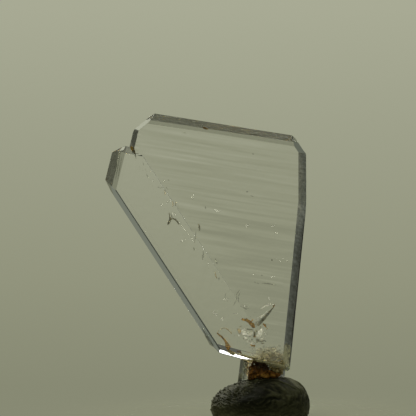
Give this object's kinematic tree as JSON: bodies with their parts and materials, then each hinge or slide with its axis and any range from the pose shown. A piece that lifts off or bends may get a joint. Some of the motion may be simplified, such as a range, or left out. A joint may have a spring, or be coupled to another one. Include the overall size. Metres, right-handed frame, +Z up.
{
  "type": "japan law twin quartz specimen",
  "caption": "Thin clear heart-shaped quartz plate of two crystals joined at nearly a right angle, standing on its rusty stub in a lump of dark display putty.",
  "frame": {"origin": "centre of the putty's flat underside, on the surface that the specimen stands on", "axes": "+Z up, +X to the right along the crystal plate seen from its striated front, +Y through the plate towards its back"},
  "size_m": [0.0212, 0.0114, 0.0314],
  "materials": {
    "quartz": "polished",
    "iron_oxide": "matte",
    "putty": "satin"
  },
  "bodies": {
    "root": {"twin_crystal": "quartz", "iron_oxide_crust": "iron_oxide", "display_putty": "putty"}
  },
  "joints": []
}
